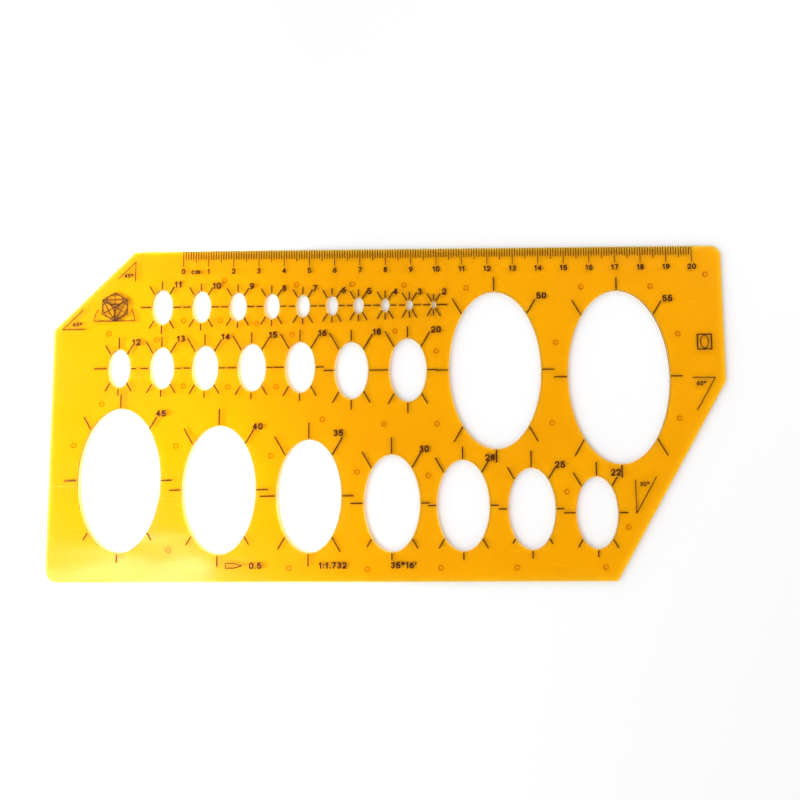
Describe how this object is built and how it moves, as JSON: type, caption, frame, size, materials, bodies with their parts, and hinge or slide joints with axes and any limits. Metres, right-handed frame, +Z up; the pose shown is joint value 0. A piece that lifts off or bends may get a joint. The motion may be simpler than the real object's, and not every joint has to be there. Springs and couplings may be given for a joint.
{
  "type": "isometric ellipse template",
  "caption": "Thin translucent drafting template with isometric ellipse openings, a centimetre scale on one long edge, and 45 and 60 degree cut corners.",
  "frame": {"origin": "centre of the sheet's outline, level with the feet of the ink risers on its underside", "axes": "+X along the centimetre scale towards its 20 cm end, +Y towards the scale edge, +Z up out of the printed face"},
  "size_m": [0.262, 0.1292, 0.0016],
  "materials": {
    "sheet": "clear moulded translucent orange",
    "ink": "dark brown printed ink"
  },
  "bodies": {
    "root": {"template_sheet": "sheet", "scale_graduations": "ink", "scale_numerals": "ink", "marks_11": "ink", "marks_10": "ink", "marks_09": "ink", "marks_08": "ink", "marks_07": "ink", "marks_06": "ink", "marks_05": "ink", "marks_04": "ink", "marks_03": "ink", "marks_02": "ink", "marks_12": "ink", "marks_13": "ink", "marks_14": "ink", "marks_15": "ink", "marks_16": "ink", "marks_18": "ink", "marks_20": "ink", "marks_50": "ink", "marks_55": "ink", "marks_45": "ink", "marks_40": "ink", "marks_35": "ink", "marks_30": "ink", "marks_28": "ink", "marks_25": "ink", "marks_22": "ink", "angle_45_upper": "ink", "angle_45_lower": "ink", "angle_60": "ink", "angle_30": "ink", "isometric_cube_diagram": "ink", "pen_note": "ink", "ratio_note": "ink", "ellipse_angle_note": "ink", "badge": "ink"}
  },
  "joints": []
}
